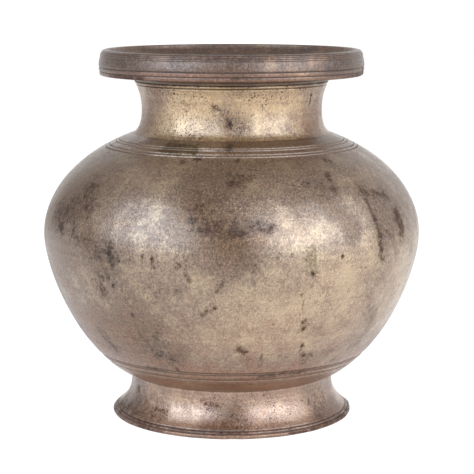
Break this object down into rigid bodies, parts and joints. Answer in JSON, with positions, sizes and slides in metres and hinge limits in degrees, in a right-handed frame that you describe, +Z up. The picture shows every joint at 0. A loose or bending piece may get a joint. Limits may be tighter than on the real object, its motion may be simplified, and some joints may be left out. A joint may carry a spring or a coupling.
{
  "type": "water pot",
  "caption": "Squat round metal water pot with a flared foot ring, a waisted neck and a wide flat-faced rim, for holding and pouring water.",
  "frame": {"origin": "centre of the foot ring's resting face, on the surface that the pot stands on", "axes": "+Z up along the pot's axis of revolution, from the foot to the mouth"},
  "size_m": [0.1696, 0.1696, 0.165],
  "materials": {
    "rim_bronze": "dark brown aged bronze, turned",
    "neck_bronze": "worn golden bronze, turned, lightly pitted",
    "shoulder_bronze": "tan bronze, mottled with brown and purple patina",
    "bowl_bronze": "tan to rosy bronze, spotted patina",
    "foot_bronze": "coppery bronze, pitted",
    "spelter": "dull yellow brazing metal"
  },
  "bodies": {
    "root": {"mouth_rim": "rim_bronze", "rim_braze": "spelter", "neck": "neck_bronze", "neck_braze": "spelter", "upper_body": "shoulder_bronze", "belly_braze": "spelter", "lower_body": "bowl_bronze", "foot_braze": "spelter", "foot_ring": "foot_bronze"}
  },
  "joints": []
}
